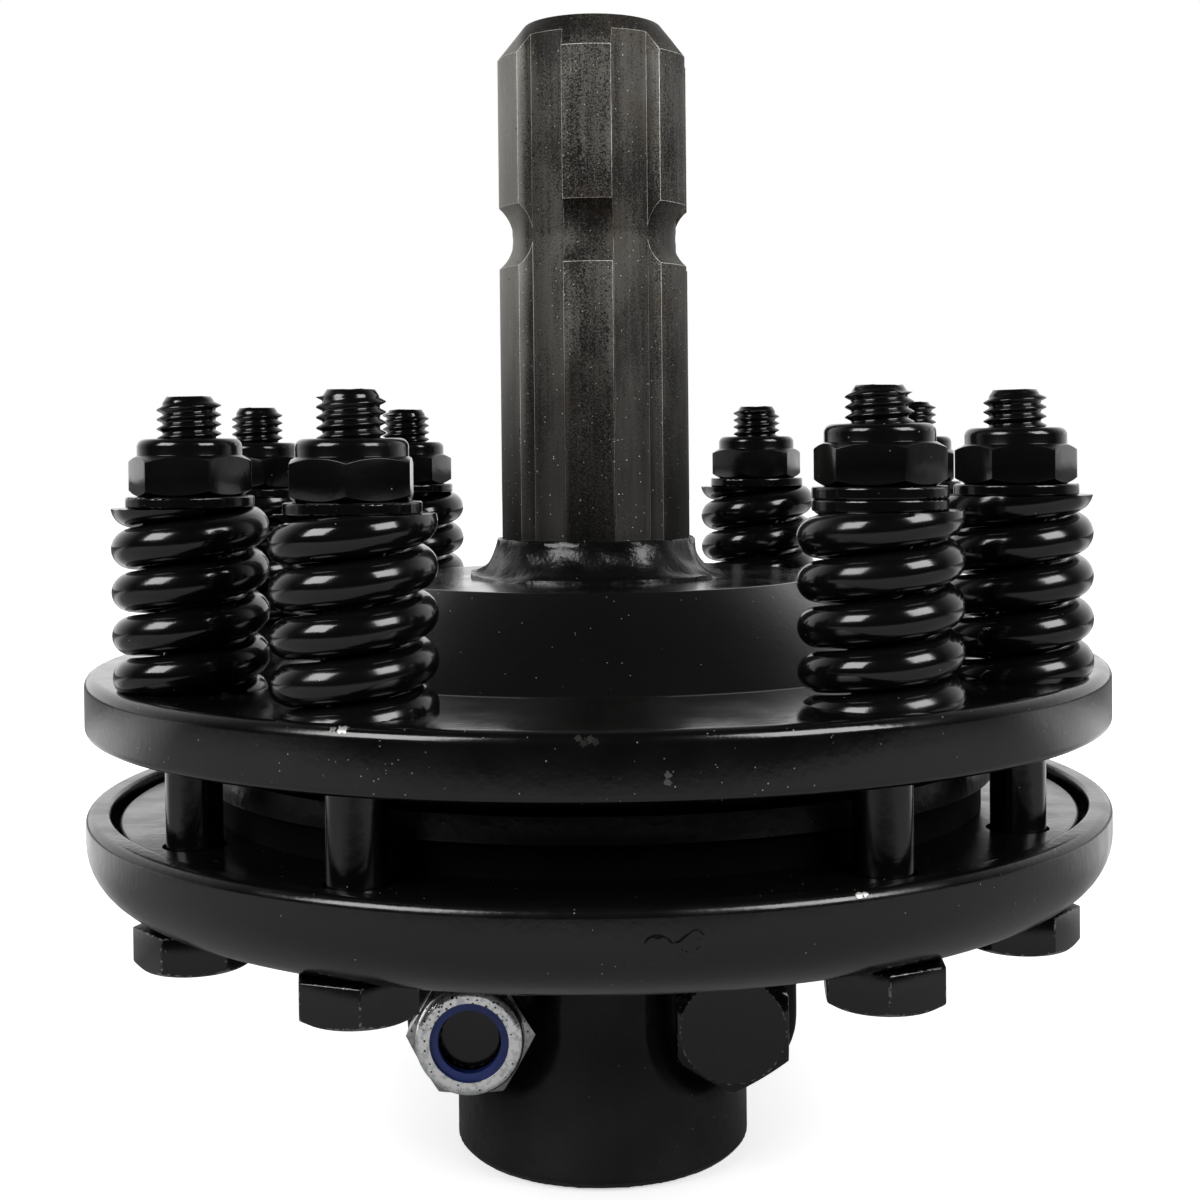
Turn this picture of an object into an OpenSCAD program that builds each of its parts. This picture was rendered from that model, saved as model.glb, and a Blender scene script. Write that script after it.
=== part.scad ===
// Friction torque limiter with a male splined shaft above and a female splined clamp hub below.
// The hub stands on the origin and the common axis is Z. Lengths are in millimetres.

/* [Splined shaft] */
// Outside diameter over the spline teeth
spline_od = 34.8; // [31:0.1:40]
// Diameter at the root between the teeth
spline_root_d = 29.6; // [24:0.1:30.5]
// Width of one tooth
tooth_w = 8.6; // [6:0.1:10]
// Number of teeth on the shaft and of keyways in the hub
teeth = 6; // [4:1:8]
// Length of shaft above the boss
shaft_len = 98.9; // [80:0.1:130]
// Height of the tapered lead at the end of the shaft
lead_h = 6.3; // [2:0.1:10]
// Depth of the tapered lead, measured on the radius
lead_in = 5; // [1:0.1:6]
// Distance from the end of the shaft to the middle of the locking groove
groove_from_end = 38.1; // [25:0.1:50]
// Radius of the locking groove's round bottom
groove_r = 6.8; // [4:0.1:9]
// Depth of the locking groove below the tooth tops
groove_depth = 2.7; // [1:0.1:3.5]
// Turn of the teeth about the axis
spline_turn = -3.8; // [-30:0.1:30]
// Diameter of the spigot that is pressed into the boss
spigot_d = 28; // [20:0.5:30]

/* [Drive flange] */
// Outside diameter of the flange plate and of the dish
plate_d = 180; // [160:0.5:220]
// Thickness of the flange plate
flange_t = 9.9; // [8:0.1:16]
// Height of the conical boss above the plate
boss_h = 14.3; // [12:0.1:25]
// Flat of the plate between the boss and the springs
boss_gap = 6.35; // [2:0.05:12]
// Boss diameter at its top
boss_top_d = 79; // [60:0.5:88]
// Rounding of the plate's edges
edge_round = 1; // [0.3:0.1:2]
// Height of the weld bead on the shaft
weld_h = 7; // [3:0.1:9]
// Width of the weld bead on the boss
weld_w = 5.6; // [3:0.1:9]

/* [Friction pack] */
// Step from the hub's plate in to the friction linings, on the radius
lining_step = 2; // [0.5:0.1:6]
// Thickness of one friction lining
lining_t = 5.5; // [3:0.1:8]
// Free space between the hub's plate and the bolts
hub_plate_gap = 1.6; // [1:0.1:6]
// Thickness of the hub's plate
hub_plate_t = 4.1; // [3:0.1:8]
// Free space between the backing plate and the dish's rim
backing_gap = 1.5; // [0.5:0.1:2.5]
// Thickness of the backing plate
backing_t = 8.5; // [6:0.1:12]

/* [Dish cover] */
// Height of the dish
dish_h = 14.1; // [13:0.1:24]
// Sheet thickness of the dish
dish_wall = 4; // [2:0.1:4.2]
// Outside rounding between the floor and the rim
dish_round = 9.5; // [6:0.1:11]

/* [Clamp hub] */
// Outside diameter of the hub
hub_d = 52.5; // [48:0.5:56]
// Height of the hub's end face below the dish
hub_drop = 50.3; // [44:0.1:80]
// Chamfer round the hub's end face
hub_chamfer = 1.6; // [0.5:0.1:3]
// Diameter of the hub's journal in the bush
journal_d = 45; // [42:0.5:46]
// Length of the journal above the hub's plate
journal_len = 14; // [10:0.5:17]
// Wall of the centring bush
bush_wall = 2.5; // [1.5:0.1:3.5]
// Diameter of the bosses round the clamp bolts
ear_d = 23.6; // [23:0.1:28]
// Length of these bosses
ear_len = 33; // [32:0.5:40]
// Distance of the clamp bolts from the axis
clamp_offset = 22.2; // [21:0.1:24]
// Height of the clamp bolts above the hub's end face
clamp_z = 26.3; // [18:0.1:30]
// Thread diameter of the clamp bolts
clamp_bolt_d = 12; // [10:0.5:13]
// Size across flats of the clamp bolts and nuts
clamp_flats = 19; // [17:0.5:22]
// Height of the clamp bolts' heads
clamp_head_h = 7.5; // [5:0.1:9]
// Height of the clamp nuts with their collars
clamp_nut_h = 12; // [9:0.1:14]

/* [Spring bolts] */
// Distance from the plate's edge to the middle of the bolts
bolt_edge = 13.4; // [12:0.1:16]
// Turn of the bolt circle about the axis
bolt_turn = 2.7; // [-30:0.1:30]
// Thread diameter of the bolts
bolt_d = 10; // [8:0.1:10.5]
// Shank diameter of the bolts
shank_d = 9; // [7:0.1:9.6]
// Length of thread on a bolt
thread_len = 40; // [34:1:50]
// Height of the bolts above the flange plate
bolt_rise = 46.2; // [44:0.1:60]
// Size across flats of heads and nuts
bolt_flats = 17; // [15:0.1:18]
// Height of the bolt heads
head_h = 6.4; // [5:0.1:8]
// Height of a nut with its collar
nut_h = 9.1; // [6:0.1:10]
// Height of the collar at the top of a nut
collar_h = 2.6; // [1:0.1:3]
// Outside diameter of the washers
washer_d = 20; // [17:0.1:22]
// Thickness of one washer
washer_t = 1.8; // [1:0.1:2.5]

/* [Springs] */
// Outside diameter of a spring
spring_d = 24.5; // [22:0.1:26]
// Wire diameter
wire_d = 6.3; // [3:0.1:6.4]
// Common height of the springs in place
spring_h = 28.3; // [27:0.1:30]
// Turns of wire in a spring
spring_turns = 4.9; // [3:0.05:5]

/* [Hidden] */
// Clearances: pieces pressed or welded together, a running journal, and a bolt in its hole
press_gap = 0.02;
run_gap = 0.05;
hole_gap = 0.5;
// Free space between the hub and the plates that turn round it
turn_gap = 1.5;
// Radial gap between the female and the male spline
spline_gap = 0.1;
// Diameter of a nut's collar as a share of the size across flats, and the same for the round of a chamfer
collar_share = 0.96;
chamfer_share = 0.95;
// Wall of the collar round the nylon ring, for the spring nuts and for the clamp nuts
collar_wall = 1.5;
clamp_collar_wall = 2.5;
ring_depth = 2.4;
// How far the clamp nuts' nylon rings reach in over the thread
ring_bite = 0.7;
nut_chamfer = 1.3;
thread_chamfer = 1;
weld_toe = 0.8;
rim_round = 1.2;
washer_edge = 0.35;

// Angles of the eight bolts: four pairs, with a wide gap to the front, the back and each side
bolt_angles = [-60, -120, -30, -150, 150, 30, 120, 60];
// How far each nut, bolt head and spring end was turned when it was fitted
nut_turns = [29, 17, 3, 40, 37, 12, 50, 25];
head_turns = [40, 10, 9, 25, 50, 56, 35, 22];
spring_ends = [24, 205, 270, 29, 2, 232, 225, 155];
// How much more or less than the common height each spring stands
spring_extra = [0.4, 0, 0, 0, 0.5, -0.4, 0, 0.9];
// Washers under each nut
washer_counts = [1, 1, 1, 1, 1, 2, 1, 1];
bolt_count = len(bolt_angles);

bolt_circle_d = plate_d - 2 * bolt_edge;
hub_plate_d = bolt_circle_d - bolt_d - 2 * hub_plate_gap;
lining_d = hub_plate_d - 2 * lining_step;
boss_foot_d = bolt_circle_d - spring_d - 2 * boss_gap;

// Levels of the stack, counted up from the hub's end face
dish_z = hub_drop;
floor_z = dish_z + dish_wall;
backing_top = floor_z + backing_t;
plate_z = backing_top + lining_t;
plate_top = plate_z + hub_plate_t;
flange_z = plate_top + lining_t;
seat_z = flange_z + flange_t;
boss_z = seat_z + boss_h;
bolt_top = seat_z + bolt_rise;
journal_top = plate_top + journal_len;
// The bush stands a little above the journal's end
bush_top = journal_top + turn_gap;
bush_d = journal_d + 2 * run_gap + 2 * bush_wall;
// The hub's bore passes the plates with the same free space all round
hub_hole_d = hub_d + 2 * turn_gap;
spigot_len = boss_z - bush_top - 2 * turn_gap;
backing_d = plate_d - 2 * (dish_wall + backing_gap);
// The backing plate stays clear of the rounding inside the dish
backing_chamfer = dish_round - dish_wall - backing_gap + hole_gap;

coil_r = (spring_d - wire_d) / 2;
coil_sides = 8;
coil_steps = 13;
// Wire that is left at the ground tips of a spring, and how much flatter its end turns are wound
tip_left = 1.1;
end_closing = 0.03;

// Seats of the clamp bolts, which widen outwards at a slope and reach up beside the barrel of the hub
seat_d = clamp_flats * 2 / sqrt(3) + hole_gap;
seat_depth = (hub_d - ear_len) / 2 + hole_gap;
seat_slope = 0.42;
seat_flare = seat_depth * seat_slope;
ear_top = dish_z - 2 * turn_gap;

$fn = 96;

paint = "#161718";
steel = "#5b5a57";
zinc = "#c9ccd0";

// Places its children on bolt number i, on the bolt circle, with -Y towards the outside
module at_bolt(i, z = 0) {
    rotate([0, 0, bolt_turn + bolt_angles[i]])
        translate([0, -bolt_circle_d / 2, z])
            children();
}

// Eight plain holes for the spring bolts
module bolt_holes(z, h) {
    for (i = [0:bolt_count - 1])
        at_bolt(i, z - 1)
            cylinder(d = bolt_d + 2 * hole_gap, h = h + 2);
}

// Half section of a disc with both outer edges rounded
module disc_section(r, t, round) {
    square([r - round, t]);
    translate([0, round])
        square([r, t - 2 * round]);
    for (y = [round, t - round])
        translate([r - round, y])
            circle(r = round);
}

// Half section of a cup with a rounded lower corner
module cup_section(r, h, round) {
    square([r - round, h]);
    translate([0, round])
        square([r, h - round]);
    intersection() {
        square([r, h]);
        translate([r - round, round])
            circle(r = round);
    }
}

// A ring between two diameters
module ring(outer_d, inner_d, h) {
    difference() {
        cylinder(d = outer_d, h = h);
        translate([0, 0, -1])
            cylinder(d = inner_d, h = h + 2);
    }
}

// Hexagon prism whose corners are turned off at the chosen ends
module hex_block(flats, h, low_chamfer, high_chamfer) {
    corner_r = flats / sqrt(3);
    face_r = flats / 2 * chamfer_share;
    slope_h = (corner_r - face_r) * tan(30);
    intersection() {
        cylinder(r = corner_r, h = h, $fn = 6);
        rotate_extrude()
            polygon([
                [0, 0], [low_chamfer ? face_r : corner_r + 1, 0],
                [corner_r + (low_chamfer ? 0 : 1), low_chamfer ? slope_h : 0],
                [corner_r + (high_chamfer ? 0 : 1), high_chamfer ? h - slope_h : h],
                [high_chamfer ? face_r : corner_r + 1, h], [0, h]]);
    }
}

// Locking nut: a hexagon, a round collar above it, and a pocket in the collar for the nylon ring
module lock_nut(flats, h, collar, thread_d, wall) {
    collar_r = flats / 2 * collar_share;
    difference() {
        union() {
            hex_block(flats, h - collar, true, true);
            rotate_extrude()
                disc_section(collar_r, h, nut_chamfer);
        }
        translate([0, 0, -1])
            cylinder(d = thread_d + 2 * run_gap, h = h + 2);
        translate([0, 0, h - ring_depth])
            cylinder(r = collar_r - wall, h = ring_depth + 1);
    }
}

// Nylon ring in the collar of a locking nut
module nylon_ring(flats, bore_d, wall) {
    collar_r = flats / 2 * collar_share;
    ring(2 * (collar_r - wall - press_gap), bore_d, ring_depth - nut_chamfer / 2);
}

// Hexagon bolt with its head below z = 0 and its shank along +Z
module hex_bolt(flats, head, shank, thread, length, threaded) {
    translate([0, 0, -head])
        hex_block(flats, head, true, false);
    cylinder(d = shank, h = length - threaded);
    translate([0, 0, length - threaded])
        cylinder(d = thread, h = threaded - thread_chamfer);
    translate([0, 0, length - thread_chamfer])
        cylinder(d1 = thread, d2 = thread - 2 * thread_chamfer, h = thread_chamfer);
}

// Height of spring i, and the levels of the washers and the nut on bolt i
function height(i) = spring_h + spring_extra[i];
function washer_z(i, k) = seat_z + height(i) + k * (washer_t + press_gap);
function nut_z(i) = washer_z(i, washer_counts[i]) - press_gap;

module spline_shaft() {
    color(steel)
        translate([0, 0, boss_z])
            rotate([0, 0, spline_turn])
                difference() {
                    union() {
                        translate([0, 0, -spigot_len])
                            cylinder(d = spigot_d, h = spigot_len);
                        cylinder(d = spline_od, h = shaft_len - lead_h);
                        translate([0, 0, shaft_len - lead_h])
                            cylinder(d1 = spline_od, d2 = spline_od - 2 * lead_in, h = lead_h);
                    }
                    keyway_gaps();
                    locking_groove();
                }
}

// The six valleys between the teeth, above the weld
module keyway_gaps() {
    difference() {
        translate([0, 0, weld_h])
            difference() {
                cylinder(d = spline_od + 2, h = shaft_len);
                translate([0, 0, -1])
                    cylinder(d = spline_root_d, h = shaft_len + 2);
            }
        for (k = [0:teeth - 1])
            rotate([0, 0, k * 360 / teeth])
                translate([-tooth_w / 2, -spline_od, 0])
                    cube([tooth_w, spline_od, shaft_len + weld_h + 1]);
    }
}

module locking_groove() {
    translate([0, 0, shaft_len - groove_from_end])
        rotate_extrude()
            translate([spline_od / 2 - groove_depth + groove_r, 0])
                circle(r = groove_r);
}

module shaft_weld() {
    r = spline_od / 2 + press_gap;
    color(paint)
        translate([0, 0, boss_z])
            rotate_extrude()
                polygon(concat(
                    [[r, 0], [r + weld_w, 0]],
                    [for (a = [0:15:90])
                        [r + weld_w - (weld_w - weld_toe) * sin(a), weld_h - (weld_h - weld_toe) * cos(a)]],
                    [[r, weld_h]]));
}

module drive_flange() {
    color(paint)
        difference() {
            union() {
                translate([0, 0, flange_z])
                    rotate_extrude()
                        disc_section(plate_d / 2, flange_t, edge_round);
                translate([0, 0, seat_z - 1])
                    cylinder(d = boss_foot_d, h = 1);
                translate([0, 0, seat_z])
                    cylinder(d1 = boss_foot_d, d2 = boss_top_d, h = boss_h);
            }
            bolt_holes(flange_z, flange_t);
            translate([0, 0, flange_z - 1])
                cylinder(d = bush_d + 2 * press_gap, h = bush_top - flange_z + 1);
            translate([0, 0, boss_z - spigot_len - press_gap])
                cylinder(d = spigot_d + 2 * press_gap, h = spigot_len + 1);
        }
}

module upper_lining() {
    color("#4a4038")
        translate([0, 0, plate_top])
            ring(lining_d, hub_hole_d, lining_t);
}

module lower_lining() {
    color("#4a4038")
        translate([0, 0, backing_top])
            ring(lining_d, hub_hole_d, lining_t);
}

// The backing plate's lower edge is turned off to clear the dish's inner rounding
module backing_plate() {
    r = backing_d / 2;
    bore_r = hub_hole_d / 2;
    color(paint)
        difference() {
            translate([0, 0, floor_z])
                rotate_extrude()
                    polygon([[bore_r, 0], [r - backing_chamfer, 0], [r, backing_chamfer],
                             [r, backing_t], [bore_r, backing_t]]);
            bolt_holes(floor_z, backing_t);
        }
}

module dish_cover() {
    color(paint)
        difference() {
            translate([0, 0, dish_z])
                rotate_extrude()
                    difference() {
                        cup_section(plate_d / 2, dish_h, dish_round);
                        translate([0, dish_wall])
                            cup_section(plate_d / 2 - dish_wall, dish_h, dish_round - dish_wall);
                        square([hub_hole_d / 2, dish_h]);
                        translate([plate_d / 2 - rim_round, dish_h - rim_round])
                            difference() {
                                square(2 * rim_round);
                                circle(r = rim_round);
                            }
                    }
            bolt_holes(dish_z, dish_wall);
        }
}

module centring_bush() {
    color("#9a7440")
        translate([0, 0, flange_z])
            ring(bush_d, journal_d + 2 * run_gap, bush_top - flange_z);
}

// The seats of the clamp bolts' heads and nuts are faced into the round of the hub
module clamp_hub() {
    color(paint)
        difference() {
            union() {
                cylinder(d1 = hub_d - 2 * hub_chamfer, d2 = hub_d, h = hub_chamfer);
                translate([0, 0, hub_chamfer])
                    cylinder(d = hub_d, h = plate_z - hub_chamfer);
                translate([0, 0, plate_z])
                    cylinder(d = hub_plate_d, h = hub_plate_t);
                translate([0, 0, plate_top])
                    cylinder(d = journal_d, h = journal_len);
                for (side = [-1, 1])
                    clamp_ear(side);
            }
            spline_bore();
            for (side = [-1, 1])
                translate([side * clamp_offset, hub_d, clamp_z])
                    rotate([90, 0, 0])
                        cylinder(d = clamp_bolt_d + 2 * run_gap, h = 2 * hub_d);
            for (side = [-1, 1])
                for (face = [-1, 1])
                    clamp_seat(side, face);
        }
}

// Ear for one clamp bolt: round below and straight up to the dish
module clamp_ear(side) {
    translate([side * clamp_offset, ear_len / 2, clamp_z])
        rotate([90, 0, 0])
            cylinder(d = ear_d, h = ear_len);
    translate([side * clamp_offset - ear_d / 2, -ear_len / 2, clamp_z])
        cube([ear_d, ear_len, ear_top - clamp_z]);
}

// Space that is cleared in front of a clamp bolt's head or nut: a cone below and a flared slot above
module clamp_seat(side, face) {
    inner = clamp_offset - seat_d / 2;
    outer = clamp_offset + ear_d;
    near = ear_len / 2;
    far = near + seat_depth;
    translate([side * clamp_offset, face * near, clamp_z])
        rotate([face * -90, 0, 0])
            cylinder(d1 = seat_d, d2 = seat_d + 2 * seat_flare, h = seat_depth);
    translate([0, 0, clamp_z])
        linear_extrude(height = ear_top - clamp_z)
            polygon([[side * inner, face * near], [side * (inner - seat_flare), face * far],
                     [side * outer, face * far], [side * outer, face * near]]);
}

// Female spline through the hub: a round bore with a keyway for each tooth
module spline_bore() {
    translate([0, 0, -1]) {
        cylinder(d = spline_root_d + 2 * spline_gap, h = journal_top + 2);
        intersection() {
            cylinder(d = spline_od + 2 * spline_gap, h = journal_top + 2);
            for (k = [0:teeth - 1])
                rotate([0, 0, spline_turn + k * 360 / teeth])
                    translate([-tooth_w / 2 - spline_gap, 0, 0])
                        cube([tooth_w + 2 * spline_gap, spline_od, journal_top + 2]);
        }
    }
}

module spring_bolts() {
    color(paint)
        for (i = [0:bolt_count - 1])
            at_bolt(i, dish_z)
                rotate([0, 0, head_turns[i] - bolt_turn - bolt_angles[i] + 30])
                    hex_bolt(bolt_flats, head_h, shank_d, bolt_d, bolt_top - dish_z, thread_len);
}

module spring_nuts() {
    color(paint)
        for (i = [0:bolt_count - 1])
            at_bolt(i, nut_z(i))
                rotate([0, 0, nut_turns[i] - bolt_turn - bolt_angles[i] + 30])
                    lock_nut(bolt_flats, nut_h, collar_h, bolt_d, collar_wall);
}

module nut_rings() {
    color("#2b2d31")
        for (i = [0:bolt_count - 1])
            at_bolt(i, nut_z(i) + nut_h - ring_depth)
                nylon_ring(bolt_flats, bolt_d + 2 * run_gap, collar_wall);
}

module spring_washers() {
    color(paint)
        for (i = [0:bolt_count - 1])
            for (k = [0:washer_counts[i] - 1])
                at_bolt(i, washer_z(i, k))
                    difference() {
                        rotate_extrude()
                            disc_section(washer_d / 2, washer_t, washer_edge);
                        translate([0, 0, -1])
                            cylinder(d = bolt_d + hole_gap, h = washer_t + 2);
                    }
}

// Both clamp bolts lie along Y. The left one shows its nut to the front, the right one its head.
module along_clamp(side) {
    translate([side * clamp_offset, 0, clamp_z])
        rotate([side * -90, 0, 0])
            translate([0, 0, -ear_len / 2])
                children();
}

module clamp_bolts() {
    color(paint)
        for (side = [-1, 1])
            along_clamp(side)
                rotate([0, 0, 30])
                    hex_bolt(clamp_flats, clamp_head_h, clamp_bolt_d, clamp_bolt_d,
                             ear_len + clamp_nut_h - ring_depth - hole_gap, clamp_bolt_d);
}

module clamp_nuts() {
    color(zinc)
        for (side = [-1, 1])
            along_clamp(side)
                translate([0, 0, ear_len])
                    lock_nut(clamp_flats, clamp_nut_h, clamp_nut_h / 4, clamp_bolt_d, clamp_collar_wall);
}

module clamp_nut_rings() {
    color("#2b3f86")
        for (side = [-1, 1])
            along_clamp(side)
                translate([0, 0, ear_len + clamp_nut_h - ring_depth])
                    nylon_ring(clamp_flats, clamp_bolt_d - 2 * ring_bite, clamp_collar_wall);
}

// Wire of one spring of height h: rings of points along a right-hand helix that ends at the given angle
function coil_points(end_angle, h) = [
    for (i = [0:ceil(spring_turns * coil_steps)])
        for (k = [0:coil_sides - 1])
            let (
                along = i / ceil(spring_turns * coil_steps),
                turn = end_angle - 360 * spring_turns * (1 - along),
                around = 360 * (k + 0.5) / coil_sides,
                r = coil_r + wire_d / 2 * cos(around),
                over = wire_d / 2 - tip_left,
                rise = along - end_closing * sin(360 * along) / (2 * PI),
                z = (h + 2 * over) * rise - over + wire_d / 2 * sin(around))
            [r * sin(turn), -r * cos(turn), z]];

// Triangles of a tube of rings, closed at both ends
function tube_faces(rings, sides) = concat(
    [for (i = [0:rings - 2]) for (k = [0:sides - 1])
        [i * sides + k, i * sides + (k + 1) % sides, (i + 1) * sides + k]],
    [for (i = [0:rings - 2]) for (k = [0:sides - 1])
        [i * sides + (k + 1) % sides, (i + 1) * sides + (k + 1) % sides, (i + 1) * sides + k]],
    [[for (k = [sides - 1:-1:0]) k]],
    [[for (k = [0:sides - 1]) (rings - 1) * sides + k]]);

// One spring on bolt i, with both ends ground flat
module spring(i) {
    color(paint)
        at_bolt(i, seat_z)
            rotate([0, 0, -bolt_turn - bolt_angles[i]])
                intersection() {
                    polyhedron(coil_points(spring_ends[i], height(i)),
                               tube_faces(ceil(spring_turns * coil_steps) + 1, coil_sides), convexity = 8);
                    translate([-spring_d, -spring_d, 0])
                        cube([2 * spring_d, 2 * spring_d, height(i)]);
                }
}

spline_shaft();
shaft_weld();
drive_flange();
upper_lining();
clamp_hub();
lower_lining();
backing_plate();
dish_cover();
centring_bush();
spring_bolts();
spring_nuts();
nut_rings();
spring_washers();
clamp_bolts();
clamp_nuts();
clamp_nut_rings();
for (i = [1:bolt_count])
    spring(i - 1);
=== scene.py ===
"""Looks of the friction torque limiter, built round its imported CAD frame.

The shaft is bare dark steel, the cross bolts' nuts are bright zinc and all the rest is glossy black enamel.
Lengths in the dataclasses are millimetres; meshes and materials are in metres, in the CAD's own frame.
"""

import logging
import math
from dataclasses import dataclass, field
from enum import Enum

import bpy
from mathutils import Matrix, Vector


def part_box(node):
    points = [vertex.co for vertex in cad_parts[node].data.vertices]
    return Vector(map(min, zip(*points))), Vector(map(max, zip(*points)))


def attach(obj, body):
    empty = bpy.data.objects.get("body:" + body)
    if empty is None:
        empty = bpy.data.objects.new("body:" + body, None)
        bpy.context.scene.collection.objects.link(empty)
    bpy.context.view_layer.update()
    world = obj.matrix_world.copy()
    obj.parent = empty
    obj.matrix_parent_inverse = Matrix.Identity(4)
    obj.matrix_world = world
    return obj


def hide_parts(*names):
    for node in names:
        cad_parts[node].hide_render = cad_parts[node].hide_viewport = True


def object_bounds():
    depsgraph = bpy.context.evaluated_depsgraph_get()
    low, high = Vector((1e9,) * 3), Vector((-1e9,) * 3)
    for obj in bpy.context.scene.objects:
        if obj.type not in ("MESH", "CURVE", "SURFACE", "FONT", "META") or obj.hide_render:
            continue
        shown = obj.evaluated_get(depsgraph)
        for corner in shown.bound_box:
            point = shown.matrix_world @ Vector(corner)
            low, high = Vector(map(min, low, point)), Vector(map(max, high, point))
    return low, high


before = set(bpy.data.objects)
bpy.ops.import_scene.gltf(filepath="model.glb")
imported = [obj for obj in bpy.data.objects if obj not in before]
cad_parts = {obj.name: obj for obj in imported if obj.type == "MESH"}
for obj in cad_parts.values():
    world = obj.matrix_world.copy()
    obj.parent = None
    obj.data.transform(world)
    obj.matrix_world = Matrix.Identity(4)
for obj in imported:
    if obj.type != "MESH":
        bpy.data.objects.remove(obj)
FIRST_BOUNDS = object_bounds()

logging.basicConfig(level=logging.INFO, format="%(message)s")
LOG = logging.getLogger("torque_limiter")

MM = 0.001
Point = tuple[float, float, float]
Outline = list[tuple[float, float]]

# Facets of the CAD meshes that meet at less than this many degrees are one face
FLAT_ANGLE = 0.5
# A drill has this many sides and stands out of its hole by this much, in mm
DRILL_SIDES = 48
DRILL_OVER = 1.0
# Most of a noise lies between these two values
NOISE_SPAN = (0.3, 0.7)


class Body(Enum):
    """The two bodies of the clutch."""

    HUB = "hub"
    DRIVE = "drive"


class Slot(Enum):
    """Material slots that the dressed pieces belong to."""

    PAINT = "black_paint"
    STEEL = "bare_steel"
    ZINC = "zinc_plate"


class Side(Enum):
    """Which side of a cutting plane is taken away."""

    ABOVE = "above"
    BELOW = "below"


# Small tools for meshes


def srgb(code: str) -> tuple[float, float, float, float]:
    """Turn a hex colour into linear light.

    Args:
        code: Colour as #rrggbb.

    Returns:
        Linear red, green, blue and an alpha of one.
    """
    parts = [int(code[i : i + 2], 16) / 255 for i in (1, 3, 5)]
    linear = [c / 12.92 if c <= 0.04045 else ((c + 0.055) / 1.055) ** 2.4 for c in parts]
    return (linear[0], linear[1], linear[2], 1.0)


def choose(piece: bpy.types.Object) -> None:
    """Make one piece the only selected and the active one.

    Args:
        piece: The piece to work on.
    """
    bpy.ops.object.select_all(action="DESELECT")
    piece.select_set(True)
    bpy.context.view_layer.objects.active = piece


def apply_modifier(piece: bpy.types.Object, kind: str, **settings: object) -> None:
    """Add a modifier, set it and apply it.

    Args:
        piece: The piece that gets it.
        kind: Type of modifier.
        settings: Its values by name.
    """
    choose(piece)
    modifier = piece.modifiers.new(kind.lower(), kind)
    for name, value in settings.items():
        setattr(modifier, name, value)
    bpy.ops.object.modifier_apply(modifier=modifier.name)


def edit_all(piece: bpy.types.Object) -> None:
    """Open a piece in edit mode with its whole mesh selected.

    Args:
        piece: The piece to open.
    """
    choose(piece)
    bpy.ops.object.mode_set(mode="EDIT")
    bpy.ops.mesh.select_all(action="SELECT")


def tidy(piece: bpy.types.Object, merge: float = 0.002) -> None:
    """Merge doubles, turn normals outward and leave edit mode.

    Args:
        piece: The piece to tidy.
        merge: Distance under which vertices are one, in mm.
    """
    edit_all(piece)
    bpy.ops.mesh.remove_doubles(threshold=merge * MM)
    bpy.ops.mesh.select_all(action="SELECT")
    bpy.ops.mesh.normals_make_consistent(inside=False)
    bpy.ops.object.mode_set(mode="OBJECT")


def smooth(piece: bpy.types.Object, degrees: float = 35.0) -> None:
    """Shade a piece smooth up to an angle.

    Args:
        piece: The piece to shade.
        degrees: Edges sharper than this stay sharp.
    """
    choose(piece)
    bpy.ops.object.shade_smooth_by_angle(angle=math.radians(degrees))


def cut(piece: bpy.types.Object, height: float, side: Side) -> None:
    """Cut a piece with a level plane and close the cut.

    Args:
        piece: The piece to cut.
        height: Height of the plane in mm.
        side: The side that is taken away.
    """
    edit_all(piece)
    bpy.ops.mesh.bisect(
        plane_co=(0, 0, height * MM),
        plane_no=(0, 0, 1),
        use_fill=True,
        clear_outer=side is Side.ABOVE,
        clear_inner=side is Side.BELOW,
    )
    bpy.ops.object.mode_set(mode="OBJECT")


def place(piece: bpy.types.Object, matrix: Matrix) -> None:
    """Move a piece's mesh, leaving its object at the origin.

    Args:
        piece: The piece to move.
        matrix: Where it goes.
    """
    piece.data.transform(matrix)
    piece.data.update()


def twin(piece: bpy.types.Object, name: str) -> bpy.types.Object:
    """Copy a piece with a mesh of its own.

    Args:
        piece: The piece to copy.
        name: Name of the copy.

    Returns:
        The copy.
    """
    copy = bpy.data.objects.new(name, piece.data.copy())
    copy.data.name = name
    bpy.context.scene.collection.objects.link(copy)
    return copy


def join(pieces: list[bpy.types.Object], name: str) -> bpy.types.Object:
    """Join pieces into one; those without a material take the first one's.

    Args:
        pieces: The pieces; the first one takes up the others.
        name: Name of the joined piece.

    Returns:
        The joined piece.
    """
    choose(pieces[0])
    for piece in pieces:
        if pieces[0].data.materials and not piece.data.materials:
            piece.data.materials.append(pieces[0].data.materials[0])
        piece.select_set(True)
    bpy.ops.object.join()
    pieces[0].name = name
    pieces[0].data.name = name
    return pieces[0]


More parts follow.
